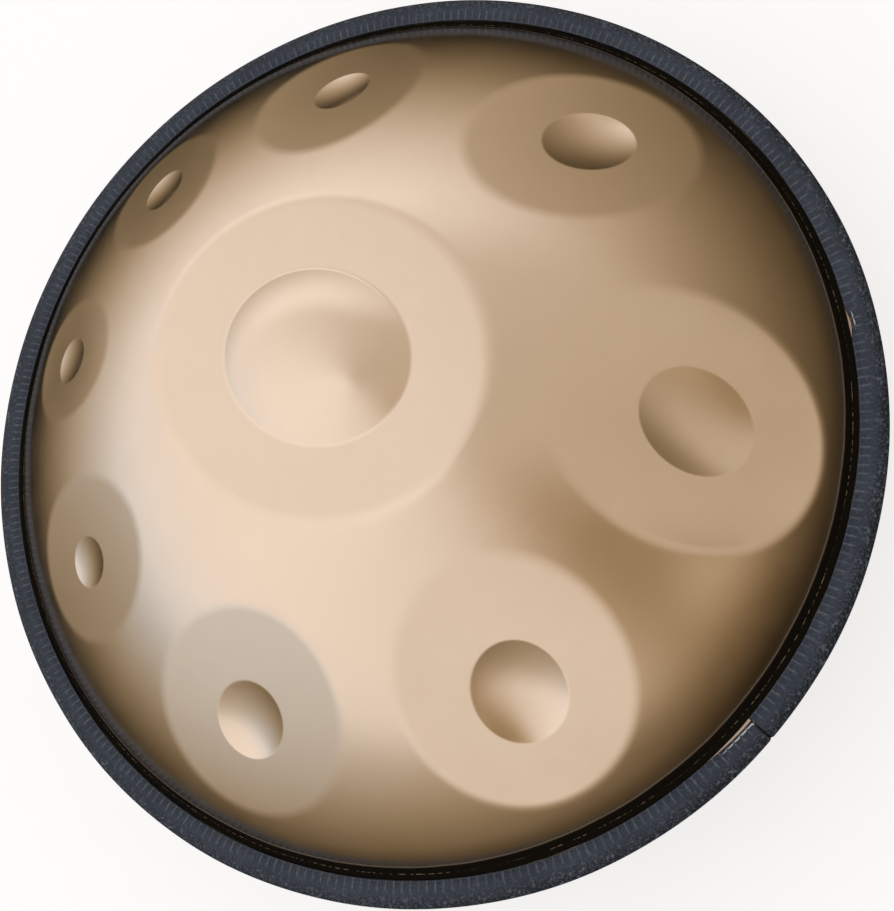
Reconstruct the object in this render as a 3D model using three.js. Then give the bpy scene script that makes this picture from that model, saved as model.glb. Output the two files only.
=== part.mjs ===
// Handpan: two drawn steel shells bonded flange to flange, with a U-section edge trim pushed over the rim.
// Millimetres, +Z up. The origin is on the axis, on the flat land that the lower shell stands on.
import * as THREE from "three";

// ---- Driving dimensions -------------------------------------------------------------------------
const RIM_HEIGHT = 111; // middle of the bond line above the standing face
const FLANGE_RADIUS = 275;
const FOOT_RADIUS = 262; // where the plain dome would meet the flange
const SHELL_THICKNESS = 1.2;
const FLANGE_GAP = 1.1; // between the two flanges, where the adhesive lies
const CLEARANCE = 0.3; // kept between touching pieces
const FOOT_FILLET = 5;
const SEGMENTS = 60; // facets round the plain turned pieces
const DOME_SEGMENTS = 84; // facets round the upper shell, which carries the fields

// Upper shell
const DOME_RISE = 130; // plain dome above the middle of the bond line
const DING = { x: 3, y: 2, azimuth: -110, long: 93, short: 83, depth: 12 };
const DING_DOME = { long: 52.8, short: 45.1, height: 11.5 };
// A field's middle lies below the dome by these shares of its half axes squared.
const FIELD_FLATNESS_LONG = 0.0006;
const FIELD_FLATNESS_SHORT = 0.001;

// The eight tone fields, from the lowest note, which faces the player at -Y, up to the highest.
// at: azimuth; radius: from the axis to the dimple; long, short: half axes; turn: swing of the long
// axis from the radial direction; dimple: the dimple's share of the field; depth: of the dimple;
// lean: how far the field tips, in degrees, down its long axis and across it.
const FIELDS = [
  { at: -90, radius: 185.5, long: 81, short: 64, turn: -8, dimple: 0.41, depth: 3.8, lean: [2.9, -3.4] },
  { at: -141.3, radius: 186.5, long: 72.5, short: 58, turn: -12, dimple: 0.41, depth: 5, lean: [1.3, -0.5] },
  { at: -36.5, radius: 185.5, long: 71, short: 56, turn: -9, dimple: 0.4, depth: 4.2, lean: [0, 0.5] },
  { at: 172.5, radius: 186, long: 69, short: 54, turn: -9, dimple: 0.37, depth: 3.8, lean: [-0.9, -0.7] },
  { at: 12.5, radius: 180, long: 63, short: 49, turn: -13, dimple: 0.33, depth: 2.5, lean: [0, 0.7] },
  { at: 129.9, radius: 181.5, long: 58.5, short: 45, turn: -5, dimple: 0.31, depth: 2.1, lean: [0.4, 0.1] },
  { at: 52.4, radius: 178, long: 51, short: 42, turn: -6, dimple: 0.355, depth: 1.9, lean: [0.3, 0.2] },
  { at: 90.5, radius: 178, long: 47, short: 37, turn: 0, dimple: 0.37, depth: 1.7, lean: [1.2, 0.3] },
];

// Lower shell
const LAND_OUTER_RADIUS = 88; // flat land round the port, which the instrument stands on
const LAND_INNER_RADIUS = 62;
const PORT_FILLET = 5;
const NECK_TOP_RADIUS = 54;
const NECK_TOP_HEIGHT = 42;

// Rim
const ADHESIVE_INNER_RADIUS = 266.5;
const ADHESIVE_OUTER_RADIUS = 274.5;
const TRIM_INNER_RADIUS = 264.9;
const TRIM_CROWN_RADIUS = 5; // also half of the trim's thickness
const TRIM_OUTER_RADIUS = 280;
const TRIM_CHANNEL_RADIUS = 276;
const TRIM_LEG_BEVEL = 0.8;
const JOINT_AZIMUTH = -122; // where the trim's two ends meet
const JOINT_GAP = 0.7;
const CORE_THICKNESS = 0.6;
const CORE_INNER_RADIUS = 267.5;
const CORE_OUTER_RADIUS = 278.6;

// ---- Worked out from the driving dimensions -----------------------------------------------------
const RAD = Math.PI / 180;
const FLANGE_FACE = FLANGE_GAP / 2 + SHELL_THICKNESS; // outer faces of the flanges, from the bond line
const DOME_RADIUS = sphereThrough(FOOT_RADIUS, DOME_RISE - FLANGE_FACE);
const DOME_CENTRE = DOME_RISE - DOME_RADIUS;

function sphereThrough(chordHalf, rise) {
  return (chordHalf ** 2 + rise ** 2) / (2 * rise);
}

// ---- The upper shell's outer surface ------------------------------------------------------------
// The dome without its fields: a sphere, a hollow fillet at its foot and the flat flange.
function plainHeight(radius) {
  const filletCentreHeight = FLANGE_FACE + FOOT_FILLET;
  const filletCentreRadius = Math.sqrt(
    (DOME_RADIUS + FOOT_FILLET) ** 2 - (filletCentreHeight - DOME_CENTRE) ** 2,
  );
  const filletStart = (filletCentreRadius * DOME_RADIUS) / (DOME_RADIUS + FOOT_FILLET);
  if (radius <= filletStart) return DOME_CENTRE + Math.sqrt(DOME_RADIUS ** 2 - radius ** 2);
  if (radius >= filletCentreRadius) return FLANGE_FACE;
  return filletCentreHeight - Math.sqrt(FOOT_FILLET ** 2 - (radius - filletCentreRadius) ** 2);
}

// A patch is an oval sunk into the dome: its middle on the plain dome, its axes and its normal, its
// depth and lean, and the relief in its middle.
function makePatch(centre, azimuth, slope, turn, shape, relief) {
  const outward = new THREE.Vector3(Math.cos(azimuth), Math.sin(azimuth), 0);
  const up = new THREE.Vector3(0, 0, 1);
  const normal = outward.clone().multiplyScalar(Math.sin(slope)).addScaledVector(up, Math.cos(slope));
  const down = outward.clone().multiplyScalar(Math.cos(slope)).addScaledVector(up, -Math.sin(slope));
  const side = new THREE.Vector3().crossVectors(normal, down);
  const longAxis = down.clone().multiplyScalar(Math.cos(turn)).addScaledVector(side, Math.sin(turn));
  const shortAxis = new THREE.Vector3().crossVectors(normal, longAxis);
  return { centre, normal, longAxis, shortAxis, ...shape, relief };
}

function toneField(field) {
  const azimuth = field.at * RAD;
  const slope = Math.asin(field.radius / DOME_RADIUS);
  const centre = new THREE.Vector3(
    Math.cos(azimuth) * Math.sin(slope) * DOME_RADIUS,
    Math.sin(azimuth) * Math.sin(slope) * DOME_RADIUS,
    DOME_CENTRE + Math.cos(slope) * DOME_RADIUS,
  );
  const depth = FIELD_FLATNESS_LONG * field.long ** 2 + FIELD_FLATNESS_SHORT * field.short ** 2;
  const shape = { long: field.long, short: field.short, depth, lean: field.lean };
  const relief = {
    long: field.long * field.dimple,
    short: field.short * field.dimple,
    height: -field.depth,
  };
  return makePatch(centre, azimuth, slope, field.turn * RAD, shape, relief);
}

function dingField() {
  const height = DOME_CENTRE + Math.sqrt(DOME_RADIUS ** 2 - DING.x ** 2 - DING.y ** 2);
  const centre = new THREE.Vector3(DING.x, DING.y, height);
  const shape = { long: DING.long, short: DING.short, depth: DING.depth, lean: [0, 0] };
  return makePatch(centre, DING.azimuth * RAD, 0, 0, shape, DING_DOME);
}

const PATCHES = [dingField(), ...FIELDS.map(toneField)];

// How far a patch and its relief lie below the plain dome at a point of the dome, straight down.
function patchDrop(patch, point) {
  const offset = point.clone().sub(patch.centre);
  const u = offset.dot(patch.longAxis);
  const v = offset.dot(patch.shortAxis);
  const inside = 1 - (u / patch.long) ** 2 - (v / patch.short) ** 2;
  if (inside <= 0) return 0;
  const inRelief = 1 - (u / patch.relief.long) ** 2 - (v / patch.relief.short) ** 2;
  const leaning = Math.tan(patch.lean[0] * RAD) * u + Math.tan(patch.lean[1] * RAD) * v;
  const hollow = (patch.depth + leaning) * inside;
  return (hollow - patch.relief.height * Math.max(0, inRelief)) / patch.normal.z;
}

function topHeight(x, y) {
  const plain = plainHeight(Math.hypot(x, y));
  const point = new THREE.Vector3(x, y, plain);
  return PATCHES.reduce((height, patch) => height - patchDrop(patch, point), plain);
}

function topNormal(x, y) {
  const step = 0.5;
  const slopeX = (topHeight(x + step, y) - topHeight(x - step, y)) / (2 * step);
  const slopeY = (topHeight(x, y + step) - topHeight(x, y - step)) / (2 * step);
  return new THREE.Vector3(-slopeX, -slopeY, 1).normalize();
}

// ---- Shape helpers ------------------------------------------------------------------------------
// A closed sheet: an outer and an inner grid of the same rings, joined along the last ring.
function closedSheet(outer, inner) {
  const rings = outer.rings.length;
  const positions = [outer.pole, ...outer.rings.flat(), inner.pole, ...inner.rings.flat()];
  const innerStart = 1 + rings * DOME_SEGMENTS;
  const at = (start, ring, segment) => start + 1 + ring * DOME_SEGMENTS + (segment % DOME_SEGMENTS);
  const index = [];
  for (let s = 0; s < DOME_SEGMENTS; s++) {
    index.push(0, at(0, 0, s), at(0, 0, s + 1));
    index.push(innerStart, at(innerStart, 0, s + 1), at(innerStart, 0, s));
    for (let r = 0; r + 1 < rings; r++) {
      const a = at(0, r, s), b = at(0, r + 1, s), c = at(0, r + 1, s + 1), d = at(0, r, s + 1);
      index.push(a, b, c, a, c, d);
      const e = at(innerStart, r, s), f = at(innerStart, r + 1, s);
      const g = at(innerStart, r + 1, s + 1), h = at(innerStart, r, s + 1);
      index.push(e, g, f, e, h, g);
    }
    const top = at(0, rings - 1, s), topNext = at(0, rings - 1, s + 1);
    const low = at(innerStart, rings - 1, s), lowNext = at(innerStart, rings - 1, s + 1);
    index.push(top, low, lowNext, top, lowNext, topNext);
  }
  const geometry = new THREE.BufferGeometry().setFromPoints(positions);
  geometry.setIndex(index);
  geometry.computeVertexNormals();
  return geometry;
}

// A closed profile of (radius, height) points, anticlockwise, turned about the Z axis.
function turned(points) {
  const geometry = new THREE.LatheGeometry([...points, points[0]], SEGMENTS);
  return geometry.rotateX(Math.PI / 2);
}

// A (radius, height) shape swept round the Z axis from one end of the trim to the other.
function sweptRound(shape, endGap) {
  const opening = endGap / TRIM_OUTER_RADIUS;
  const angle = 2 * Math.PI - opening;
  const geometry = new THREE.ExtrudeGeometry(shape, {
    depth: angle,
    steps: SEGMENTS,
    bevelEnabled: false,
    curveSegments: 2,
  });
  const position = geometry.attributes.position;
  for (let i = 0; i < position.count; i++) {
    const radius = position.getX(i);
    const azimuth = JOINT_AZIMUTH * RAD - opening / 2 - position.getZ(i);
    const height = position.getY(i);
    position.setXYZ(i, radius * Math.cos(azimuth), radius * Math.sin(azimuth), height);
  }
  return geometry;
}

function arcPoints(centreX, centreY, radius, fromDegrees, toDegrees, count) {
  return Array.from({ length: count + 1 }, (_, i) => {
    const angle = (fromDegrees + ((toDegrees - fromDegrees) * i) / count) * RAD;
    return new THREE.Vector2(centreX + radius * Math.cos(angle), centreY + radius * Math.sin(angle));
  });
}

// ---- Pieces -------------------------------------------------------------------------------------
const TOP_RINGS = [
  18, 36, 48, 56, 74, 88, 102, 118, 134, 148, 160, 172, 184, 196, 208, 222, 238, 252, 260.5, 262.2,
  264.4, FLANGE_RADIUS,
];

function topShell() {
  const outerPoint = (x, y) => new THREE.Vector3(x, y, topHeight(x, y));
  const innerPoint = (x, y) => outerPoint(x, y).addScaledVector(topNormal(x, y), -SHELL_THICKNESS);
  const grid = (pointAt) => ({
    pole: pointAt(0, 0),
    rings: TOP_RINGS.map((radius) =>
      Array.from({ length: DOME_SEGMENTS }, (_, s) => {
        const azimuth = (s / DOME_SEGMENTS) * 2 * Math.PI;
        return pointAt(radius * Math.cos(azimuth), radius * Math.sin(azimuth));
      }),
    ),
  });
  return closedSheet(grid(outerPoint), grid(innerPoint));
}

// The lower shell's dome passes through its foot and through the edge of the land.
function bottomShell() {
  const flangeUnder = RIM_HEIGHT - FLANGE_FACE;
  const sphereCentre =
    (FOOT_RADIUS ** 2 + flangeUnder ** 2 - LAND_OUTER_RADIUS ** 2) / (2 * flangeUnder);
  const sphereRadius = Math.hypot(LAND_OUTER_RADIUS, sphereCentre);
  const filletHeight = flangeUnder - FOOT_FILLET;
  const filletRadius = Math.sqrt(
    (sphereRadius + FOOT_FILLET) ** 2 - (sphereCentre - filletHeight) ** 2,
  );
  const footAngle = Math.atan2(sphereCentre - filletHeight, filletRadius) / RAD;
  const landAngle = Math.atan2(sphereCentre, LAND_OUTER_RADIUS) / RAD;
  // One face of the sheet, a given depth inside the outer face, from the rim to the top of the neck.
  const face = (inset) => [
    new THREE.Vector2(FLANGE_RADIUS, flangeUnder + inset),
    ...arcPoints(filletRadius, filletHeight, FOOT_FILLET + inset, 90, 180 - footAngle, 2),
    ...arcPoints(0, sphereCentre, sphereRadius - inset, -footAngle, -landAngle, 7).slice(1, -1),
    new THREE.Vector2(LAND_OUTER_RADIUS, inset),
    ...arcPoints(LAND_INNER_RADIUS, PORT_FILLET, PORT_FILLET - inset, 270, 180, 3),
    new THREE.Vector2(NECK_TOP_RADIUS + inset, NECK_TOP_HEIGHT),
  ];
  return turned([...face(SHELL_THICKNESS), ...face(0).reverse()]);
}

function flangeAdhesive() {
  const half = FLANGE_GAP / 2 - CLEARANCE;
  return turned([
    new THREE.Vector2(ADHESIVE_INNER_RADIUS, -half),
    new THREE.Vector2(ADHESIVE_OUTER_RADIUS, -half),
    new THREE.Vector2(ADHESIVE_OUTER_RADIUS, half),
    new THREE.Vector2(ADHESIVE_INNER_RADIUS, half),
  ]);
}

// A U lying on its side, open towards the axis: legs from inner to crown, with a round crown.
function uSection(innerRadius, crownCentre, halfOutside, halfInside, channelRadius, bevel) {
  const shape = new THREE.Shape();
  shape.moveTo(innerRadius, -halfInside);
  shape.lineTo(innerRadius, -halfOutside + bevel);
  shape.lineTo(innerRadius + bevel, -halfOutside);
  shape.lineTo(crownCentre, -halfOutside);
  shape.absarc(crownCentre, 0, halfOutside, -Math.PI / 2, Math.PI / 2);
  shape.lineTo(innerRadius + bevel, halfOutside);
  shape.lineTo(innerRadius, halfOutside - bevel);
  shape.lineTo(innerRadius, halfInside);
  shape.lineTo(channelRadius, halfInside);
  shape.lineTo(channelRadius, -halfInside);
  return shape;
}

// The steel strip's U, grown by a clearance on every side for the pocket that it sits in.
function coreSection(grow) {
  const crownCentre = TRIM_OUTER_RADIUS - TRIM_CROWN_RADIUS;
  const outside = CORE_OUTER_RADIUS - crownCentre;
  const inside = outside - CORE_THICKNESS;
  const shape = new THREE.Shape();
  shape.moveTo(CORE_INNER_RADIUS - grow, -outside - grow);
  shape.lineTo(crownCentre, -outside - grow);
  shape.absarc(crownCentre, 0, outside + grow, -Math.PI / 2, Math.PI / 2);
  shape.lineTo(CORE_INNER_RADIUS - grow, outside + grow);
  shape.lineTo(CORE_INNER_RADIUS - grow, inside - grow);
  shape.lineTo(crownCentre, inside - grow);
  shape.absarc(crownCentre, 0, inside - grow, Math.PI / 2, -Math.PI / 2, true);
  shape.lineTo(CORE_INNER_RADIUS - grow, -inside + grow);
  return shape;
}

function edgeTrim() {
  const section = uSection(
    TRIM_INNER_RADIUS,
    TRIM_OUTER_RADIUS - TRIM_CROWN_RADIUS,
    TRIM_CROWN_RADIUS,
    FLANGE_FACE + CLEARANCE,
    TRIM_CHANNEL_RADIUS,
    TRIM_LEG_BEVEL,
  );
  section.holes.push(coreSection(CLEARANCE));
  return sweptRound(section, JOINT_GAP);
}

function trimClipCore() {
  return sweptRound(coreSection(0), JOINT_GAP);
}

// ---- The assembly -------------------------------------------------------------------------------
function piece(name, geometry, height, color, roughness, metalness) {
  const material = new THREE.MeshStandardMaterial({ color, roughness, metalness });
  const mesh = new THREE.Mesh(geometry, material);
  mesh.name = name;
  mesh.position.z = height;
  return mesh;
}

const handpan = new THREE.Group();
handpan.name = "handpan";
handpan.add(
  piece("top_shell", topShell(), RIM_HEIGHT, 0xb39468, 0.28, 1),
  piece("bottom_shell", bottomShell(), 0, 0xb39468, 0.32, 1),
  piece("flange_adhesive", flangeAdhesive(), RIM_HEIGHT, 0x26241f, 0.6, 0),
  piece("edge_trim", edgeTrim(), RIM_HEIGHT, 0x343c47, 0.55, 0),
  piece("trim_clip_core", trimClipCore(), RIM_HEIGHT, 0x8d9094, 0.4, 1),
);

export default handpan;
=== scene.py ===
"""Handpan: two drawn, heat-tinted steel shells with a ribbed rubber edge trim, on a pale studio floor.

Lengths in the shape code are millimetres, as in the CAD part, with heights from the middle of the
bond line between the two shells. They turn into metres when a mesh is made.
"""

import math

import bpy
import numpy as np
from mathutils import Matrix, Vector
from mathutils.geometry import delaunay_2d_cdt


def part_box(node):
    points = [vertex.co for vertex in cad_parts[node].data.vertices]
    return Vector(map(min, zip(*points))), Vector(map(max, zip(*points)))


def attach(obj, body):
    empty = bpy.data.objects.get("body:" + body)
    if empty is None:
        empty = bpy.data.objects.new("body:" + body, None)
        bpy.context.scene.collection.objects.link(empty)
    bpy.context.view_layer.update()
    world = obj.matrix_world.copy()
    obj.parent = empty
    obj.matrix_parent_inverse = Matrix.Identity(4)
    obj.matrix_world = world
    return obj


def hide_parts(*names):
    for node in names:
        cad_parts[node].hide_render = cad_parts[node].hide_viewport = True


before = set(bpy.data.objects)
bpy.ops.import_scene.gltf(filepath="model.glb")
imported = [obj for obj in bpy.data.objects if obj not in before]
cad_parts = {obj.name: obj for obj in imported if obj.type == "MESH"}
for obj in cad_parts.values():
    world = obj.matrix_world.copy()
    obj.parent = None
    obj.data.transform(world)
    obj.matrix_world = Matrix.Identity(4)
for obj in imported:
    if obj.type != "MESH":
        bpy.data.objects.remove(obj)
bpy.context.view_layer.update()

MM = 0.001
RAD = math.pi / 180

# ---- Dimensions shared with the CAD part ---------------------------------------------------------
trim_low, trim_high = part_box("edge_trim")
RIM_HEIGHT = (trim_low.z + trim_high.z) / 2 / MM

FLANGE_RADIUS = 275.0
FOOT_RADIUS = 262.0
SHELL_THICKNESS = 1.2
FLANGE_FACE = 1.75
FOOT_FILLET = 5.0
DOME_RISE = 130.0
DOME_RADIUS = (FOOT_RADIUS**2 + (DOME_RISE - FLANGE_FACE) ** 2) / (2 * (DOME_RISE - FLANGE_FACE))
DOME_CENTRE = DOME_RISE - DOME_RADIUS
FILLET_HEIGHT = FLANGE_FACE + FOOT_FILLET
FILLET_RADIUS = math.sqrt((DOME_RADIUS + FOOT_FILLET) ** 2 - (FILLET_HEIGHT - DOME_CENTRE) ** 2)
FILLET_START = FILLET_RADIUS * DOME_RADIUS / (DOME_RADIUS + FOOT_FILLET)

# A field's middle lies below the dome by these shares of its half axes squared.
FIELD_FLATNESS_LONG = 0.0006
FIELD_FLATNESS_SHORT = 0.001
EDGE_SOFTNESS = 0.11  # how rounded the edge of a field is
CREASE_SOFTNESS = 0.05  # how rounded the edge of a dimple or of the central dome is

# azimuth, radius, half length, half width, turn, dimple share, dimple depth,
# and the lean of the field along and across its long axis, in degrees
FIELDS = [
    (-90, 185.5, 81, 64, -8, 0.41, 3.8, 2.9, -3.4),
    (-141.3, 186.5, 72.5, 58, -12, 0.41, 5, 1.3, -0.5),
    (-36.5, 185.5, 71, 56, -9, 0.4, 4.2, 0, 0.5),
    (172.5, 186, 69, 54, -9, 0.37, 3.8, -0.9, -0.7),
    (12.5, 180, 63, 49, -13, 0.33, 2.5, 0, 0.7),
    (129.9, 181.5, 58.5, 45, -5, 0.31, 2.1, 0.4, 0.1),
    (52.4, 178, 51, 42, -6, 0.355, 1.9, 0.3, 0.2),
    (90.5, 178, 47, 37, 0, 0.37, 1.7, 1.2, 0.3),
]
DING_PLACE = (3.0, 2.0)
DING_AZIMUTH = -110.0
DING_HALF_AXES = (93.0, 83.0)
DING_DEPTH = 12.0
DING_DOME_HALF_AXES = (52.8, 45.1)
DING_DOME_HEIGHT = 11.5

LAND_OUTER_RADIUS = 88.0
LAND_INNER_RADIUS = 62.0
PORT_FILLET = 5.0
NECK_TOP_RADIUS = 54.0
NECK_TOP_HEIGHT = 42.0

TRIM_INNER_RADIUS = 264.9
TRIM_CROWN_RADIUS = 5.0
TRIM_CROWN_CENTRE = 275.0
TRIM_CHANNEL_RADIUS = 276.0
TRIM_CHANNEL_HALF = 2.05
TRIM_LEG_END = 2.9  # half of the trim's thickness at the ends of its legs
TRIM_LEG_SHOULDER = (2.9, 4.4)  # the legs are pulled out to here on the way to the crown
TRIM_LEG_BEVEL = 0.4
JOINT_AZIMUTH = -122.0
JOINT_GAP = 0.06  # the real ends touch; the CAD part keeps them a little apart
JOINT_GROOVE = 0.7


# ---- The upper shell's outer surface -------------------------------------------------------------
def smoothstep(start, end, value):
    t = np.clip((value - start) / (end - start), 0, 1)
    return t * t * (3 - 2 * t)


def plain_height(radius):
    """The dome without its fields: a sphere, a hollow fillet at its foot and the flat flange."""
    sphere = DOME_CENTRE + np.sqrt(np.maximum(DOME_RADIUS**2 - radius**2, 1))
    inside = np.maximum(FOOT_FILLET**2 - (radius - FILLET_RADIUS) ** 2, 0)
    fillet = FILLET_HEIGHT - np.sqrt(inside)
    return np.where(
        radius <= FILLET_START, sphere, np.where(radius >= FILLET_RADIUS, FLANGE_FACE, fillet)
    )


def soft_ramp(value, softness):
    """Zero below and value above, with a rounded corner between them."""
    corner = (value + softness) ** 2 / (4 * softness)
    return np.where(value >= softness, value, np.where(value <= -softness, 0, corner))


class Patch:
    """A flattened oval sunk into the dome, with a dimple or a dome in its middle."""

    def __init__(self, centre, azimuth, slope, turn, half_axes, depth, relief_axes, relief, lean):
        outward = np.array([math.cos(azimuth), math.sin(azimuth), 0.0])
        up = np.array([0.0, 0.0, 1.0])
        self.centre = np.array(centre, float)
        self.normal = outward * math.sin(slope) + up * math.cos(slope)
        down = outward * math.cos(slope) - up * math.sin(slope)
        side = np.cross(self.normal, down)
        self.long_axis = down * math.cos(turn) + side * math.sin(turn)
        self.short_axis = np.cross(self.normal, self.long_axis)
        self.half_axes = half_axes
        self.depth = depth
        self.relief_axes = relief_axes
        self.relief = relief
        self.lean = lean

    def in_oval(self, x, y, height):
        """Place of a point of the dome along the oval's two axes."""
        dx, dy, dz = x - self.centre[0], y - self.centre[1], height - self.centre[2]
        u = dx * self.long_axis[0] + dy * self.long_axis[1] + dz * self.long_axis[2]
        v = dx * self.short_axis[0] + dy * self.short_axis[1] + dz * self.short_axis[2]
        return u, v

    def drop(self, x, y, height):
        """How far the oval and its relief lie below the plain dome, straight down."""
        u, v = self.in_oval(x, y, height)
        inside = 1 - (u / self.half_axes[0]) ** 2 - (v / self.half_axes[1]) ** 2
        in_relief = 1 - (u / self.relief_axes[0]) ** 2 - (v / self.relief_axes[1]) ** 2
        leaning = math.tan(self.lean[0] * RAD) * u + math.tan(self.lean[1] * RAD) * v
        hollow = (self.depth + leaning) * soft_ramp(inside, EDGE_SOFTNESS)
        return (hollow - self.relief * soft_ramp(in_relief, CREASE_SOFTNESS)) / self.normal[2]

    def share(self, x, y, height):
        """How far out in the oval a point of the dome lies: 1 on its edge."""
        u, v = self.in_oval(x, y, height)
        return np.hypot(u / self.half_axes[0], v / self.half_axes[1])

    def oval_points(self, half_long, half_short, spacing):
        """Plan positions of points round an oval of the given half axes on this patch."""
        around = 2 * math.pi * math.sqrt((half_long**2 + half_short**2) / 2)
        count = max(6, int(around / spacing))
        angle = 2 * math.pi * np.arange(count) / count
        u, v = half_long * np.cos(angle), half_short * np.sin(angle)
        below = DOME_RADIUS - np.sqrt(DOME_RADIUS**2 - u**2 - v**2)
        point = (
            self.centre
            + u[:, None] * self.long_axis
            + v[:, None] * self.short_axis
            - below[:, None] * self.normal
        )
        return point[:, :2]


def tone_field(azimuth, radius, half_long, half_short, turn, dimple, depth, along, across):
    azimuth = azimuth * RAD
    slope = math.asin(radius / DOME_RADIUS)
    centre = (
        math.cos(azimuth) * math.sin(slope) * DOME_RADIUS,
        math.sin(azimuth) * math.sin(slope) * DOME_RADIUS,
        DOME_CENTRE + math.cos(slope) * DOME_RADIUS,
    )
    half_axes = (half_long, half_short)
    hollow = field_depth(half_long, half_short)
    dimple_axes = (half_long * dimple, half_short * dimple)
    return Patch(
        centre,
        azimuth,
        slope,
        turn * RAD,
        half_axes,
        hollow,
        dimple_axes,
        -depth,
        (along, across),
    )


def field_depth(half_long, half_short):
    """How far a field's middle lies below the dome."""
    return FIELD_FLATNESS_LONG * half_long**2 + FIELD_FLATNESS_SHORT * half_short**2


def ding_field():
    x, y = DING_PLACE
    centre = (x, y, DOME_CENTRE + math.sqrt(DOME_RADIUS**2 - x**2 - y**2))
    return Patch(
        centre,
        DING_AZIMUTH * RAD,
        0,
        0,
        DING_HALF_AXES,
        DING_DEPTH,
        DING_DOME_HALF_AXES,
        DING_DOME_HEIGHT,
        (0, 0),
    )


PATCHES = [ding_field()] + [tone_field(*field) for field in FIELDS]


def top_height(x, y):
    plain = plain_height(np.hypot(x, y))
    return plain - sum(patch.drop(x, y, plain) for patch in PATCHES)


def top_normals(x, y):
    step = 0.2
    slope_x = (top_height(x + step, y) - top_height(x - step, y)) / (2 * step)
    slope_y = (top_height(x, y + step) - top_height(x, y - step)) / (2 * step)
    normal = np.stack([-slope_x, -slope_y, np.ones_like(slope_x)], -1)
    return normal / np.linalg.norm(normal, axis=-1, keepdims=True)


# ---- Mesh helpers --------------------------------------------------------------------------------
def mesh_piece(name, points, faces, loop_normals=None):
    """A smooth-shaded mesh object from points in millimetres above the bond line."""
    points = np.asarray(points, float)
    placed = (points + np.array([0, 0, RIM_HEIGHT])) * MM
    mesh = bpy.data.meshes.new(name)
    mesh.from_pydata(placed.tolist(), [], faces)
    mesh.polygons.foreach_set("use_smooth", [True] * len(mesh.polygons))
    mesh.update()
    if loop_normals is not None:
        mesh.normals_split_custom_set(loop_normals)
    piece = bpy.data.objects.new(name, mesh)
    bpy.context.scene.collection.objects.link(piece)
    return piece


def circle(radius, count):
    angle = 2 * math.pi * np.arange(count) / count
    return np.stack([radius * np.cos(angle), radius * np.sin(angle)], -1)


def triangulated(plan):
    """Delaunay triangles over plan points, each anticlockwise from above."""
    found = delaunay_2d_cdt([Vector(p) for p in plan], [], [], 0, 1e-5)
    points = np.array([tuple(p) for p in found[0]])
    triangles = np.array(found[2])
    a, b, c = (points[triangles[:, i]] for i in range(3))
    turned = np.cross(b - a, c - a) < 0
    triangles[turned] = triangles[turned][:, ::-1]
    return points, triangles


# ---- Upper shell ---------------------------------------------------------------------------------
RIM_COUNT = 480  # points round the flange's edge
CREASE_RINGS = [0.86, 0.92, 0.95, 0.97, 0.985, 1.0, 1.015, 1.03, 1.05, 1.08, 1.13]
BLEND_RINGS = [0.9, 0.925, 0.945, 0.965, 0.985, 1.005, 1.025, 1.045, 1.065, 1.09]
CLEAR_OF_FIELDS = 1.12
FOOT_RINGS = [256.5, 258, 259, 259.6, 260.1, 260.5, 260.9, 261.3, 261.7, 262.1, 262.5, 262.9]
FOOT_RINGS += [263.3, 263.7, 264.1, 264.4, 265, 267, 270.5, FLANGE_RADIUS]
FIELD_LIMIT = 255.0  # fields' own points stop here, short of the foot rings


def patch_points(patch, crease_spacing, spacing):
    """Rings of points that follow a patch's dimple, its crease and its edge."""
    relief, outer = np.array(patch.relief_axes), np.array(patch.half_axes)
    rings = [(relief * share, crease_spacing) for share in CREASE_RINGS]
    inner_count = int(CREASE_RINGS[0] * relief[1] / spacing)
    inner_shares = CREASE_RINGS[0] * np.arange(1, inner_count) / inner_count
    rings += [(relief * share, spacing) for share in inner_shares]
    start, end = relief * CREASE_RINGS[-1], outer * BLEND_RINGS[0]
    between = int((end - start).min() / spacing)
    rings += [(start + (end - start) * i / between, spacing) for i in range(1, between)]
    rings += [(outer * share, spacing) for share in BLEND_RINGS]
    points = [patch.oval_points(axes[0], axes[1], gap) for axes, gap in rings]
    points.append(patch.oval_points(0.0, 0.0, 1.0)[:1])
    found = np.concatenate(points)
    return found[np.hypot(found[:, 0], found[:, 1]) < FIELD_LIMIT]


def between_points(spacing):
    """Points on the plain dome, clear of every patch."""
    rings = []
    for radius in np.arange(spacing / 2, FIELD_LIMIT, spacing):
        count = max(6, int(2 * math.pi * radius / spacing))
        rings.append(circle(radius, count))
    plan = np.concatenate(rings)
    plain = plain_height(np.hypot(plan[:, 0], plan[:, 1]))
    clear = np.ones(len(plan), bool)
    for patch in PATCHES:
        clear &= patch.share(plan[:, 0], plan[:, 1], plain) > CLEAR_OF_FIELDS
    return plan[clear]


def shell_face(crease_spacing, spacing, foot_step):
    """One face of the upper shell as plan points and triangles."""
    plan = [patch_points(patch, crease_spacing, spacing) for patch in PATCHES]
    plan.append(between_points(spacing * 1.4))
    rings = FOOT_RINGS[:-1][::foot_step] + FOOT_RINGS[-1:]
    plan += [circle(radius, RIM_COUNT) for radius in rings]
    return triangulated(np.concatenate(plan))


def rim_loop(points):
    """Indices of the points on the flange's edge, in order round it."""
    on_rim = np.flatnonzero(np.hypot(points[:, 0], points[:, 1]) > FLANGE_RADIUS - 0.01)
    return on_rim[np.argsort(np.arctan2(points[on_rim, 1], points[on_rim, 0]))]


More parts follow.
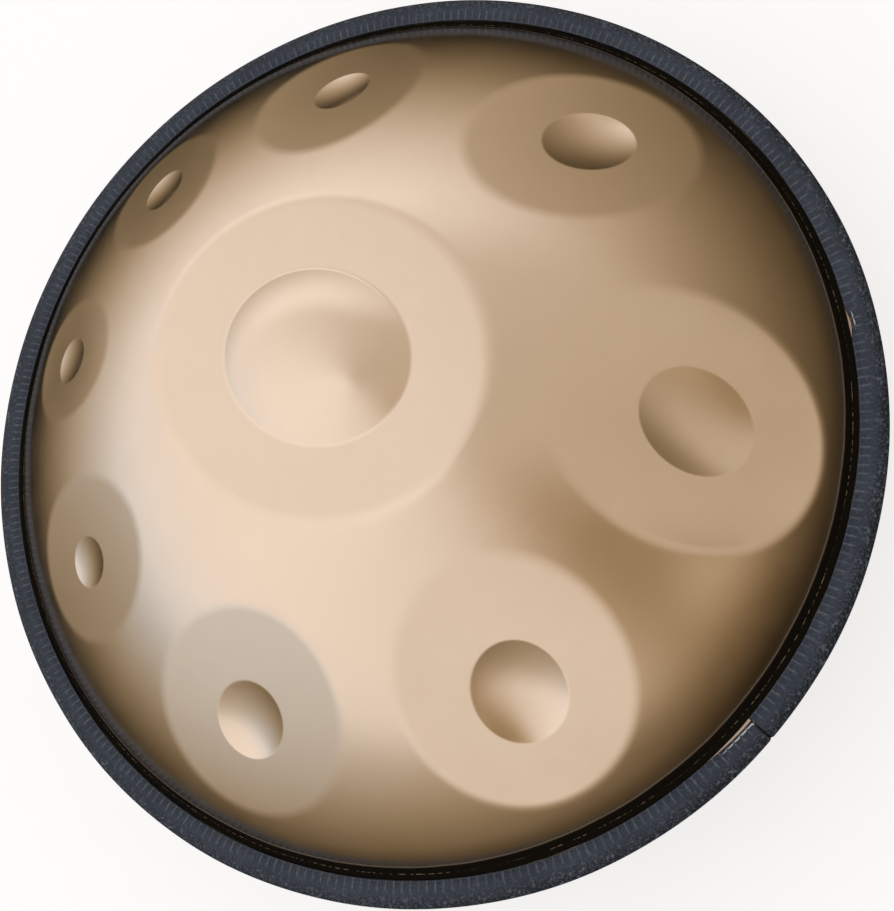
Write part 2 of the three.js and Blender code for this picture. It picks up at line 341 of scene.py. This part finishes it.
def make_top_shell():
    outer_plan, outer_faces = shell_face(1.2, 2.7, 1)
    inner_plan, inner_faces = shell_face(4.0, 7.0, 4)
    outer_normals = top_normals(outer_plan[:, 0], outer_plan[:, 1])
    inner_normals = top_normals(inner_plan[:, 0], inner_plan[:, 1])
    outer = np.column_stack([outer_plan, top_height(outer_plan[:, 0], outer_plan[:, 1])])
    inner = np.column_stack([inner_plan, top_height(inner_plan[:, 0], inner_plan[:, 1])])
    inner -= inner_normals * SHELL_THICKNESS
    shift = len(outer)
    upper, lower = rim_loop(outer_plan), rim_loop(inner_plan) + shift
    upper_next, lower_next = np.roll(upper, -1), np.roll(lower, -1)
    edge = np.concatenate(
        [np.stack([upper, lower, lower_next], -1), np.stack([upper, lower_next, upper_next], -1)]
    )
    points = np.concatenate([outer, inner])
    faces = np.concatenate([outer_faces, inner_faces[:, ::-1] + shift, edge])
    vertex_normals = np.concatenate([outer_normals, -inner_normals])
    loops = vertex_normals[faces]
    radial = points[edge] * [1, 1, 0]
    loops[-len(edge) :] = radial / np.linalg.norm(radial, axis=-1, keepdims=True)
    return mesh_piece("fine_top_shell", points, faces.tolist(), loops.reshape(-1, 3))


# ---- Lower shell ---------------------------------------------------------------------------------
LOWER_TURNS = 360
LAND_EDGE_ROUND = 9.0  # share of the dome and the land taken up by their soft meeting


def arc(centre_radius, centre_height, radius, start, end, count):
    angle = np.linspace(start * RAD, end * RAD, count + 1)
    across = centre_radius + radius * np.cos(angle)
    return np.column_stack([across, centre_height + radius * np.sin(angle)])


def soft_corner(before, corner, after, count):
    """A quadratic curve from before to after that is pulled to the corner."""
    t = np.linspace(0, 1, count + 1)[:, None]
    return (1 - t) ** 2 * before + 2 * t * (1 - t) * corner + t**2 * after


def lower_profile(inset):
    """One face of the lower shell from the flange's edge to the top of the port's neck."""
    flange_under = RIM_HEIGHT - FLANGE_FACE
    above = FOOT_RADIUS**2 + flange_under**2 - LAND_OUTER_RADIUS**2
    centre = above / (2 * flange_under)
    radius = math.hypot(LAND_OUTER_RADIUS, centre)
    fillet_height = flange_under - FOOT_FILLET
    fillet_radius = math.sqrt((radius + FOOT_FILLET) ** 2 - (centre - fillet_height) ** 2)
    foot_angle = math.atan2(centre - fillet_height, fillet_radius) / RAD
    land_angle = math.atan2(centre, LAND_OUTER_RADIUS + LAND_EDGE_ROUND) / RAD
    fillet = arc(
        fillet_radius, fillet_height, FOOT_FILLET + inset, 90, 180 - foot_angle, 12
    )
    dome = arc(0, centre, radius - inset, -foot_angle, -land_angle, 56)[1:]
    corner = np.array([LAND_OUTER_RADIUS, inset])
    land_start = np.array([LAND_OUTER_RADIUS - LAND_EDGE_ROUND, inset])
    land_edge = soft_corner(dome[-1], corner, land_start, 8)[1:]
    port = arc(LAND_INNER_RADIUS, PORT_FILLET, PORT_FILLET - inset, 270, 180, 10)
    neck_top = np.array([[NECK_TOP_RADIUS + inset, NECK_TOP_HEIGHT]])
    neck = port[-1] + (neck_top - port[-1]) * np.linspace(0.2, 1, 5)[:, None]
    edge = np.array([[FLANGE_RADIUS, flange_under + inset]])
    return np.concatenate([edge, fillet, dome, land_edge, port, neck])


def turned_piece(name, profile, count):
    """A closed (radius, height above the floor) profile turned about the Z axis."""
    angle = 2 * math.pi * np.arange(count) / count
    points = np.stack(
        [
            np.outer(np.cos(angle), profile[:, 0]),
            np.outer(np.sin(angle), profile[:, 0]),
            np.tile(profile[:, 1] - RIM_HEIGHT, (count, 1)),
        ],
        -1,
    ).reshape(-1, 3)
    steps = len(profile)
    turn, step = np.meshgrid(np.arange(count), np.arange(steps), indexing="ij")
    next_turn, next_step = (turn + 1) % count, (step + 1) % steps
    faces = np.stack(
        [
            turn * steps + step,
            turn * steps + next_step,
            next_turn * steps + next_step,
            next_turn * steps + step,
        ],
        -1,
    ).reshape(-1, 4)
    return mesh_piece(name, points, faces.tolist())


def make_bottom_shell():
    outer, inner = lower_profile(0.0), lower_profile(SHELL_THICKNESS)
    lip = arc(
        NECK_TOP_RADIUS + SHELL_THICKNESS / 2, NECK_TOP_HEIGHT, SHELL_THICKNESS / 2, 180, 0, 6
    )[1:-1]
    profile = np.concatenate([outer, lip, inner[::-1]])
    return turned_piece("fine_bottom_shell", profile, LOWER_TURNS)


# ---- Edge trim -----------------------------------------------------------------------------------
RIB_COUNT = 350
STEPS_PER_RIB = 7
RIB_HEIGHT = 0.4
RIB_HALF_WIDTH = 0.55
RIB_STRENGTH = (0.45, 1.2)  # the least and the most of its height that a rib has
CREST_HALF_WIDTH = 0.44  # of the highlight painted along a rib's crest
RIB_END_RADIUS = 271.8  # the ribs fade out on the way to the crown
JOINT_PULL = 1.6  # how far the last end round the ring is pulled back, baring the flange
JOINT_PULL_SPAN = 9.0  # degrees over which it lies back in place
LOOSE_AZIMUTH = -73.0  # a place where the upper leg doesn't lie close either
LOOSE_HALF_SPAN = 2.6
LOOSE_PULL = 1.5
GROOVE_HALF_WIDTH = 0.8  # of the groove where the two ends meet
DARK_HALF_WIDTH = 0.9  # of the dark ends there
WAVES = [(0.12, 7, 1), (0.08, 17, 2)]  # size, times round the rim and shift of its unevenness


def trim_section():
    """The U section from the end of the upper leg round the crown to the lower leg, closed."""
    crown = TRIM_CROWN_RADIUS
    inner, end, bevel = TRIM_INNER_RADIUS, TRIM_LEG_END, TRIM_LEG_BEVEL
    across, above = TRIM_LEG_SHOULDER
    top_edge = arc(inner + bevel, end - bevel, bevel, 180, 90, 3)
    low_edge = arc(inner + bevel, bevel - end, bevel, 270, 180, 3)
    shoulder, crown_top = np.array([inner + across, above]), np.array([TRIM_CROWN_CENTRE, crown])
    mirror = np.array([1, -1])
    top = soft_corner(top_edge[-1], shoulder, crown_top, 9)[1:-1]
    low = soft_corner(crown_top * mirror, shoulder * mirror, low_edge[0], 5)[1:-1]
    round_part = arc(TRIM_CROWN_CENTRE, 0, crown, 90, -90, 12)
    channel = np.array(
        [
            [inner, -TRIM_CHANNEL_HALF],
            [TRIM_CHANNEL_RADIUS, -TRIM_CHANNEL_HALF],
            [TRIM_CHANNEL_RADIUS, TRIM_CHANNEL_HALF],
            [inner, TRIM_CHANNEL_HALF],
        ]
    )
    return np.concatenate([top_edge, top, round_part, low, low_edge, channel])


def uneven(value, seed):
    """A steady pseudo-random number from 0 to 1 for each whole value."""
    return np.modf(np.abs(np.sin(value * 12.9898 + seed * 78.233)) * 43758.5453)[0]


def leg_pull(azimuth, along):
    """How far the end of the upper leg is pulled outward, at the joint and at the loose place."""
    pull = JOINT_PULL * (1 - smoothstep(0, JOINT_PULL_SPAN, 360 * (1 - along)))
    from_loose = np.abs((azimuth / RAD - LOOSE_AZIMUTH + 180) % 360 - 180)
    return pull + LOOSE_PULL * (1 - smoothstep(0, LOOSE_HALF_SPAN, from_loose))


def trim_faces(steps, count):
    """Quads along an open tube of sections with count points, and a cap at each end."""
    turn, step = np.meshgrid(np.arange(steps), np.arange(count), indexing="ij")
    next_step = (step + 1) % count
    faces = np.stack(
        [
            turn * count + step,
            turn * count + next_step,
            (turn + 1) * count + next_step,
            (turn + 1) * count + step,
        ],
        -1,
    ).reshape(-1, 4)
    start_cap = list(range(count))[::-1]
    end_cap = [steps * count + i for i in range(count)]
    return faces.tolist() + [start_cap, end_cap]


def bell(distance, half_width):
    return np.exp(-((distance / half_width) ** 2))


def make_trim():
    section = trim_section()
    opening = JOINT_GAP / (TRIM_CROWN_CENTRE + TRIM_CROWN_RADIUS)
    steps = RIB_COUNT * STEPS_PER_RIB
    along = np.linspace(0, 1, steps + 1)
    azimuth = JOINT_AZIMUTH * RAD + opening / 2 + along * (2 * math.pi - opening)
    rib = along * RIB_COUNT
    pitch = 2 * math.pi * TRIM_INNER_RADIUS / RIB_COUNT
    from_rib = (rib - np.round(rib)) * pitch
    from_end = np.minimum(along, 1 - along) * 2 * math.pi * TRIM_CROWN_CENTRE
    weakest, strongest = RIB_STRENGTH
    strength = weakest + (strongest - weakest) * uneven(np.round(rib), 1)

    radius, height = np.broadcast_arrays(section[None, :, 0], section[None, :, 1])
    radius = np.repeat(radius, steps + 1, 0).copy()
    height = np.repeat(height, steps + 1, 0).copy()
    channel_edge = TRIM_CHANNEL_HALF + 0.1
    side = np.where(height > channel_edge, 1.0, np.where(height < -channel_edge, -1.0, 0.0))
    on_leg = 1 - smoothstep(TRIM_CROWN_CENTRE - 6, RIB_END_RADIUS, radius)
    ridge = bell(from_rib, RIB_HALF_WIDTH) * strength
    height += RIB_HEIGHT * ridge[:, None] * on_leg * side
    radius += sum(size * np.sin(times * azimuth + shift) for size, times, shift in WAVES)[:, None]
    leg_share = 1 - smoothstep(TRIM_INNER_RADIUS, TRIM_CROWN_CENTRE, section[:, 0])
    on_upper_leg = leg_share[None, :] * np.where(height > 0, 1.0, 0.0)
    radius += leg_pull(azimuth, along)[:, None] * on_upper_leg
    groove = JOINT_GROOVE * bell(from_end, GROOVE_HALF_WIDTH)[:, None]
    outward = smoothstep(TRIM_CROWN_CENTRE, TRIM_CROWN_CENTRE + TRIM_CROWN_RADIUS, radius)
    height -= groove * side
    radius -= groove * outward

    x, y = radius * np.cos(azimuth[:, None]), radius * np.sin(azimuth[:, None])
    points = np.stack([x, y, height], -1)
    count = section.shape[0]
    piece = mesh_piece("fine_edge_trim", points.reshape(-1, 3), trim_faces(steps, count))
    # The highlight painted on each rib's crest, and the dark ends at the joint, for the rubber's
    # colour.
    crest = bell(from_rib, CREST_HALF_WIDTH) * np.clip(strength, 0, 1)
    tint_by_point(piece, "rib_crest_highlight", crest[:, None] * on_leg)
    tint_by_point(piece, "joint_end", bell(from_end, DARK_HALF_WIDTH)[:, None] * np.ones(count))
    return piece


def tint_by_point(piece, name, values):
    attribute = piece.data.attributes.new(name, "FLOAT", "POINT")
    attribute.data.foreach_set("value", np.ravel(values).astype(np.float32))


# ---- Material helpers ----------------------------------------------------------------------------
class Nodes:
    """A short way to write a material's or the world's nodes."""

    def __init__(self, tree):
        self.tree = tree
        tree.nodes.clear()

    def add(self, kind, settings=None, **inputs):
        node = self.tree.nodes.new(kind)
        for name, value in (settings or {}).items():
            setattr(node, name, value)
        for name, value in inputs.items():
            self.feed(node, name.replace("_", " "), value)
        return node

    def feed(self, node, name, value):
        socket = node.inputs[int(name)] if name.isdigit() else node.inputs[name]
        if isinstance(value, bpy.types.NodeSocket):
            self.tree.links.new(value, socket)
        else:
            socket.default_value = value

    def math(self, operation, a, b=0.0, c=0.0):
        node = self.tree.nodes.new("ShaderNodeMath")
        node.operation = operation
        for socket, value in zip(node.inputs, (a, b, c)):
            if isinstance(value, bpy.types.NodeSocket):
                self.tree.links.new(value, socket)
            else:
                socket.default_value = value
        return node.outputs[0]

    def ramp(self, value, start, end, low=0.0, high=1.0):
        """low before start, high after end, and smooth between them."""
        node = self.add("ShaderNodeMapRange", {"interpolation_type": "SMOOTHSTEP"})
        for name, given in zip(
            ("Value", "From Min", "From Max", "To Min", "To Max"), (value, start, end, low, high)
        ):
            self.feed(node, name, given)
        return node.outputs["Result"]

    def mix(self, share, a, b):
        node = self.add("ShaderNodeMix", {"data_type": "RGBA"})
        self.feed(node, "0", share)
        for index, value in ((6, a), (7, b)):
            self.feed(node, str(index), value)
        return node.outputs[2]

    def noise(self, where, scale, detail=3.0, roughness=0.5):
        node = self.add("ShaderNodeTexNoise", Scale=scale, Detail=detail, Roughness=roughness)
        self.feed(node, "Vector", where)
        return node.outputs["Fac"]

    def place(self):
        return self.add("ShaderNodeTexCoord").outputs["Object"]

    def bump(self, height, distance, strength=1.0, after=None):
        node = self.add("ShaderNodeBump", Height=height, Distance=distance, Strength=strength)
        if after is not None:
            self.feed(node, "Normal", after)
        return node.outputs["Normal"]


def shade(r, g, b):
    return (r, g, b, 1.0)


def new_material(name):
    material = bpy.data.materials.new(name)
    material.use_nodes = True
    return material, Nodes(material.node_tree)


def finish_material(n, shader):
    output = n.add("ShaderNodeOutputMaterial")
    n.tree.links.new(shader.outputs["BSDF"], output.inputs["Surface"])


# ---- Materials -----------------------------------------------------------------------------------
# Distances from the axis, in metres as the shaders see them.
FADE_INNER = 0.2440  # from here outwards the tint is painted darker, as shade toward the foot
BAND_INNER = 0.2572  # a near-black band painted as shade in the corner between the dome and the flange
BAND_OUTER = 0.2649
GLINT_RADIUS = 0.2615  # a broken glint line painted into that band
CROWN_START, CROWN_END = 0.2705, 0.2775  # painted shade in the grain and painted glints grow stronger between these
EDGE_HIGHLIGHT_START, EDGE_HIGHLIGHT_END = 0.2652, 0.2662  # a highlight is painted along the leg's end inside these


def axis_distance(n, where):
    split = n.add("ShaderNodeSeparateXYZ")
    n.feed(split, "Vector", where)
    x, y, _ = split.outputs
    return n.math("SQRT", n.math("ADD", n.math("MULTIPLY", x, x), n.math("MULTIPLY", y, y)))


def rim_band(n, where):
    """The shares of painted shade toward the foot, of a near-black band painted as shade in the corner
    and of a broken painted glint line in it, from the axis outwards.
    """
    radius = axis_distance(n, where)
    uneven_edge = n.math("MULTIPLY_ADD", n.noise(where, 55.0, 3.0), 0.0008, -0.0004)
    moved = n.math("ADD", radius, uneven_edge)
    start = n.ramp(moved, BAND_INNER - 0.0010, BAND_INNER + 0.0006)
    end = n.ramp(moved, BAND_OUTER - 0.0001, BAND_OUTER + 0.0003, 1.0, 0.0)
    corner_shade = n.math("MULTIPLY", start, end)
    off_line = n.math("ABSOLUTE", n.math("SUBTRACT", moved, GLINT_RADIUS))
    foot_shade = n.ramp(moved, FADE_INNER, BAND_INNER)
    line = n.ramp(off_line, 0.00002, 0.00022, 1.0, 0.0)
    broken = n.ramp(n.noise(where, 420.0, 2.0), 0.46, 0.62)
    glint_patches = n.ramp(n.noise(where, 30.0, 2.0), 0.35, 0.6, 0.15, 1.0)
    return foot_shade, corner_shade, n.math("MULTIPLY", n.math("MULTIPLY", line, broken), glint_patches)


def tinted_steel(name, rough):
    """Satin steel with a straw-gold heat tint that drifts, painted shade toward the foot, and a
    near-black band painted as shade in the rim's corner with a broken painted glint line in it.
    """
    material, n = new_material(name)
    where = n.place()
    drift = n.ramp(n.noise(where, 7.0, 2.0), 0.35, 0.65)
    fine = n.noise(where, 90.0, 4.0)
    colour = n.mix(drift, shade(0.91, 0.72, 0.545), shade(0.88, 0.695, 0.52))
    colour = n.mix(n.ramp(fine, 0.3, 0.7, 0.0, 0.25), colour, shade(0.86, 0.68, 0.51))
    roughness = n.ramp(n.noise(where, 40.0, 3.0), 0.3, 0.7, rough - 0.02, rough + 0.02)
    foot_shade, corner_shade, glint = rim_band(n, where)
    # Painted shade darkens the tint toward the foot of the dome.
    colour = n.mix(n.math("MULTIPLY", foot_shade, 0.55), colour, shade(0.16, 0.10, 0.05))
    # A near-black band painted in the corner between the dome and the flange, as its shade; it is not
    # metal there.
    colour = n.mix(corner_shade, colour, shade(0.010, 0.008, 0.006))
    # A broken glint line painted into that band.
    colour = n.mix(glint, colour, shade(0.36, 0.28, 0.17))
    bare = n.math("SUBTRACT", 1.0, corner_shade)
    roughness = n.math("MULTIPLY_ADD", corner_shade, 0.35, roughness)
    waves = n.bump(n.noise(where, 22.0, 1.0), 0.0004, 0.05)
    normal = n.bump(n.noise(where, 900.0, 2.0), 0.00002, 0.15, waves)
    shader = n.add(
        "ShaderNodeBsdfPrincipled",
        Base_Color=colour,
        Metallic=bare,
        Roughness=roughness,
        Normal=normal,
    )
    # The steel is all metal, so this only keeps the near-black band of painted corner shade matt.
    n.feed(shader, "Specular IOR Level", 0.0)
    finish_material(n, shader)
    return material


def grained_rubber(name):
    """Slate rubber of uneven tone and leather grain, with painted shade in the grain's hollows and
    painted glints, both stronger toward the crown, painted highlights on the rib crests and the leg's
    end, and dark ends at the joint.
    """
    material, n = new_material(name)
    where = n.place()
    grain = n.add("ShaderNodeTexVoronoi", {"feature": "F1"}, Scale=800.0)
    n.feed(grain, "Vector", where)
    cells = grain.outputs["Distance"]
    mottle = n.noise(where, 480.0, 3.0)
    soft = n.noise(where, 30.0, 2.0)
    colour = n.mix(n.ramp(soft, 0.3, 0.7), shade(0.029, 0.041, 0.065), shade(0.043, 0.058, 0.088))
    # Shade is painted into the hollows of the grain, more of it toward the crown.
    radius = axis_distance(n, where)
    crown = n.ramp(radius, CROWN_START, CROWN_END)
    pit_shade = n.math("MULTIPLY", n.ramp(cells, 0.3, 0.6), n.math("MULTIPLY_ADD", crown, 0.65, 0.25))
    colour = n.mix(pit_shade, colour, shade(0.004, 0.005, 0.008))
    # Pale glints painted on the grain, more of them toward the crown.
    grain_glints = n.math("MULTIPLY", n.ramp(mottle, 0.54, 0.70), n.math("MULTIPLY_ADD", crown, 0.4, 0.2))
    colour = n.mix(grain_glints, colour, shade(0.16, 0.19, 0.23))
    # A highlight painted along each rib's crest.
    crest = n.add("ShaderNodeAttribute", {"attribute_name": "rib_crest_highlight"}).outputs["Fac"]
    crest = n.math("MULTIPLY", crest, n.ramp(n.noise(where, 700.0, 2.0), 0.3, 0.6, 0.35, 1.0))
    colour = n.mix(n.math("MULTIPLY", crest, 0.75), colour, shade(0.18, 0.21, 0.24))
    # A highlight painted a little paler along the end of the leg.
    edge_highlight = n.ramp(radius, EDGE_HIGHLIGHT_START, EDGE_HIGHLIGHT_END, 0.3, 0.0)
    colour = n.mix(edge_highlight, colour, shade(0.10, 0.12, 0.15))
    joint = n.add("ShaderNodeAttribute", {"attribute_name": "joint_end"}).outputs["Fac"]
    colour = n.mix(joint, colour, shade(0.004, 0.004, 0.005))
    normal = n.bump(cells, 0.0004, 0.5)
    normal = n.bump(mottle, 0.0003, 0.4, normal)
    shader = n.add("ShaderNodeBsdfPrincipled", Base_Color=colour, Roughness=0.5, Normal=normal)
    n.feed(shader, "Specular IOR Level", 0.35)
    finish_material(n, shader)
    return material


def sealing_adhesive(name):
    material, n = new_material(name)
    where = n.place()
    blotch = n.noise(where, 120.0, 3.0)
    colour = n.mix(blotch, shade(0.018, 0.016, 0.013), shade(0.04, 0.036, 0.03))
    normal = n.bump(n.noise(where, 500.0, 3.0), 0.0002, 0.5)
    shader = n.add("ShaderNodeBsdfPrincipled", Base_Color=colour, Roughness=0.6, Normal=normal)
    finish_material(n, shader)
    return material


def strip_steel(name):
    material, n = new_material(name)
    where = n.place()
    stretched = n.add("ShaderNodeMapping", Scale=(1.0, 1.0, 20.0))
    n.feed(stretched, "Vector", where)
    lines = n.noise(stretched.outputs["Vector"], 200.0, 4.0)
    colour = n.mix(lines, shade(0.42, 0.43, 0.44), shade(0.6, 0.6, 0.6))
    roughness = n.ramp(lines, 0.3, 0.7, 0.3, 0.45)
    normal = n.bump(lines, 0.0001, 0.3)
    shader = n.add(
        "ShaderNodeBsdfPrincipled",
        Base_Color=colour,
        Metallic=1.0,
        Roughness=roughness,
        Normal=normal,
    )
    finish_material(n, shader)
    return material


def use_material(piece, material):
    piece.data.materials.clear()
    piece.data.materials.append(material)


# ---- Stage ---------------------------------------------------------------------------------------
FLOOR_HALF = 6.0
FLOOR_DROP = 0.0003
FLOOR_GLOW = 0.64


def make_floor():
    half, drop = FLOOR_HALF, -FLOOR_DROP
    mesh = bpy.data.meshes.new("studio_floor")
    corners = [(-half, -half, drop), (half, -half, drop), (half, half, drop), (-half, half, drop)]
    mesh.from_pydata(corners, [], [(0, 1, 2, 3)])
    floor = bpy.data.objects.new("studio_floor", mesh)
    bpy.context.scene.collection.objects.link(floor)
    material, n = new_material("pale_floor")
    paper = n.noise(n.place(), 60.0, 3.0)
    colour = n.mix(paper, shade(0.50, 0.50, 0.50), shade(0.52, 0.52, 0.52))
    matt = n.add("ShaderNodeBsdfDiffuse", Color=colour)
    glow = n.add("ShaderNodeEmission", Strength=FLOOR_GLOW)
    lit = n.add("ShaderNodeAddShader")
    n.tree.links.new(matt.outputs[0], lit.inputs[0])
    n.tree.links.new(glow.outputs[0], lit.inputs[1])
    clear = n.add("ShaderNodeBsdfTransparent")
    side = n.add("ShaderNodeNewGeometry").outputs["Backfacing"]
    seen = n.add("ShaderNodeMixShader")
    n.tree.links.new(side, seen.inputs[0])
    n.tree.links.new(lit.outputs[0], seen.inputs[1])
    n.tree.links.new(clear.outputs[0], seen.inputs[2])
    output = n.add("ShaderNodeOutputMaterial")
    n.tree.links.new(seen.outputs[0], output.inputs["Surface"])
    use_material(floor, material)
    floor.visible_glossy = False
    return floor


# The studio's surroundings by direction. Azimuths and elevations are in degrees.
HORIZON = 22.0  # where brown turns to pale, on average
HORIZON_TILT = (30.0, 13.0)  # the azimuth where it is highest, and by how much
HORIZON_WAVE = (-8.0, 10.0)  # the same for a rise that comes twice round the room
HORIZON_SOFTNESS = 10.0
BROWN_RANGE = (-37.0, 60.0)  # the brown grows lighter between these elevations
BROWN_LEVEL = (95.0, 1.03, 0.54)  # the azimuth where it is lightest, its mean and its swing
PALE_LEVEL = (125.0, 0.77, 0.20)
STRIP_PLACE = (-113.0, 23.0)  # azimuth and half width of a dim upright strip, on the camera's side
STRIP_RANGE = (37.0, 87.0)  # it fades out between these elevations
STRIP_DIMMING = 0.5
PATCH_PLACE = (-108.0, 9.0, 15.0, 9.0)  # of a grey patch low in it, given as COOL_PLACE is
PATCH_LIGHT = 0.16
COOL_PLACE = (125.0, 45.0, 10.0, 17.0)  # azimuth, half width, elevation and half height
PALE = 1.0


def studio_colour(n):
    """The surroundings' colour by direction: pale above the horizon, brown and then dark below."""
    direction = n.add("ShaderNodeTexCoord").outputs["Generated"]
    split = n.add("ShaderNodeSeparateXYZ")
    n.feed(split, "Vector", direction)
    x, y, z = split.outputs
    elevation = n.math("MULTIPLY", n.math("ARCSINE", z), 1 / RAD)
    azimuth = n.math("MULTIPLY", n.math("ARCTAN2", y, x), 1 / RAD)

    def towards(centre, times=1.0):
        """1 where the azimuth is the centre's, -1 behind it."""
        turn = n.math("MULTIPLY", n.math("SUBTRACT", azimuth, centre), times * RAD)
        return n.math("COSINE", turn)

    def spot(centre, width, height, spread):
        """1 at a place in the surroundings, fading out over the width and the spread."""
        away = n.math("WRAP", n.math("SUBTRACT", azimuth, centre), 180.0, -180.0)
        across = n.math("POWER", n.math("DIVIDE", away, width), 2.0)
        above = n.math("DIVIDE", n.math("SUBTRACT", elevation, height), spread)
        total = n.math("ADD", across, n.math("POWER", above, 2.0))
        return n.math("EXPONENT", n.math("MULTIPLY", total, -1.0))

    def level(centre, mean, swing):
        return n.math("MULTIPLY_ADD", towards(centre), swing, mean)

    def less(value, share, amount):
        """The value, smaller by an amount where the share is 1."""
        return n.math("MULTIPLY", value, n.math("MULTIPLY_ADD", share, -amount, 1.0))

    horizon = level(HORIZON_TILT[0], HORIZON, HORIZON_TILT[1])
    horizon = n.math("MULTIPLY_ADD", towards(HORIZON_WAVE[0], 2.0), HORIZON_WAVE[1], horizon)
    start = n.math("SUBTRACT", horizon, HORIZON_SOFTNESS)
    end = n.math("ADD", horizon, HORIZON_SOFTNESS)
    risen = n.ramp(elevation, start, end)
    brown = n.math("MULTIPLY", level(*BROWN_LEVEL), n.ramp(elevation, *BROWN_RANGE))
    light = n.math("MULTIPLY_ADD", n.math("SUBTRACT", level(*PALE_LEVEL), brown), risen, brown)
    beside = spot(*STRIP_PLACE, 0.0, 1000.0)
    strip = n.math("MULTIPLY", beside, n.ramp(elevation, *STRIP_RANGE, 1.0, 0.0))
    light = less(light, strip, STRIP_DIMMING)
    light = n.math("MULTIPLY_ADD", spot(*PATCH_PLACE), PATCH_LIGHT, light)
    light = n.math("MAXIMUM", light, 0.0)
    # Dim light is the browner light, and there is a cool place on one side.
    warmth = n.ramp(light, 0.0, 1.0)
    cool = spot(*COOL_PLACE)
    green = less(n.math("MULTIPLY_ADD", warmth, 0.22, 0.77), strip, 0.06)
    green = less(green, cool, 0.13)
    blue = less(n.math("MULTIPLY_ADD", warmth, 0.58, 0.44), strip, 0.15)
    surroundings = n.add("ShaderNodeCombineXYZ")
    n.feed(surroundings, "X", less(light, cool, 0.24))
    n.feed(surroundings, "Y", n.math("MULTIPLY", light, green))
    n.feed(surroundings, "Z", n.math("MULTIPLY", light, blue))
    # Far below, the light comes back off the pale floor.
    ground = n.ramp(elevation, -68.0, -42.0, 1.0, 0.0)
    return n.mix(ground, surroundings.outputs[0], shade(0.52, 0.50, 0.47))


def make_world():
    """Light and reflections come from the studio's surroundings; the camera sees a pale backdrop."""
    world = bpy.data.worlds.new("studio_world")
    bpy.context.scene.world = world
    world.use_nodes = True
    n = Nodes(world.node_tree)
    around = n.add("ShaderNodeBackground", Color=studio_colour(n), Strength=1.0)
    backdrop = n.add("ShaderNodeBackground", Color=shade(PALE, PALE, PALE), Strength=1.0)
    seen = n.add("ShaderNodeLightPath").outputs["Is Camera Ray"]
    mixed = n.add("ShaderNodeMixShader")
    n.tree.links.new(seen, mixed.inputs[0])
    n.tree.links.new(around.outputs[0], mixed.inputs[1])
    n.tree.links.new(backdrop.outputs[0], mixed.inputs[2])
    output = n.add("ShaderNodeOutputWorld")
    n.tree.links.new(mixed.outputs[0], output.inputs["Surface"])


CAMERA_PLACE = Vector((-0.1186, -0.2231, 0.5768))  # from the middle of the rim
CAMERA_AIM = Vector((-0.0200, -0.0381, 0.0))
CAMERA_ROLL = -54.0
CAMERA_LENS = 40.76
CAMERA_SENSOR = 36.0


def make_camera():
    data = bpy.data.cameras.new("camera")
    data.lens = CAMERA_LENS
    data.sensor_width = CAMERA_SENSOR
    data.sensor_fit = "AUTO"
    data.clip_start, data.clip_end = 0.01, 50.0
    camera = bpy.data.objects.new("camera", data)
    bpy.context.scene.collection.objects.link(camera)
    forward = (CAMERA_AIM - CAMERA_PLACE).normalized()
    level = forward.cross(Vector((0, 0, 1))).normalized()
    upright = level.cross(forward)
    roll = CAMERA_ROLL * RAD
    right = level * math.cos(roll) + upright * math.sin(roll)
    up = upright * math.cos(roll) - level * math.sin(roll)
    turn = Matrix((right, up, -forward)).transposed()
    rim = Vector((0, 0, RIM_HEIGHT * MM))
    camera.matrix_world = Matrix.Translation(rim + CAMERA_PLACE) @ turn.to_4x4()
    bpy.context.scene.camera = camera


# ---- The scene -----------------------------------------------------------------------------------
def build():
    make_camera()
    make_world()
    make_floor()
    steel = tinted_steel("heat_tinted_steel", 0.17)
    under_steel = tinted_steel("heat_tinted_steel_under", 0.28)
    rubber = grained_rubber("grained_rubber")
    pieces = [
        (make_top_shell(), "top_shell", "shell_steel", steel),
        (make_bottom_shell(), "bottom_shell", "shell_steel", under_steel),
        (make_trim(), "edge_trim", "trim_rubber", rubber),
    ]
    for piece, node, slot, material in pieces:
        use_material(piece, material)
        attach(piece, "root")
        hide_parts(node)
    use_material(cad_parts["flange_adhesive"], sealing_adhesive("sealing_adhesive"))
    use_material(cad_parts["trim_clip_core"], strip_steel("strip_steel"))
    settings = bpy.context.scene.view_settings
    settings.view_transform = "Standard"
    settings.look = "None"


build()
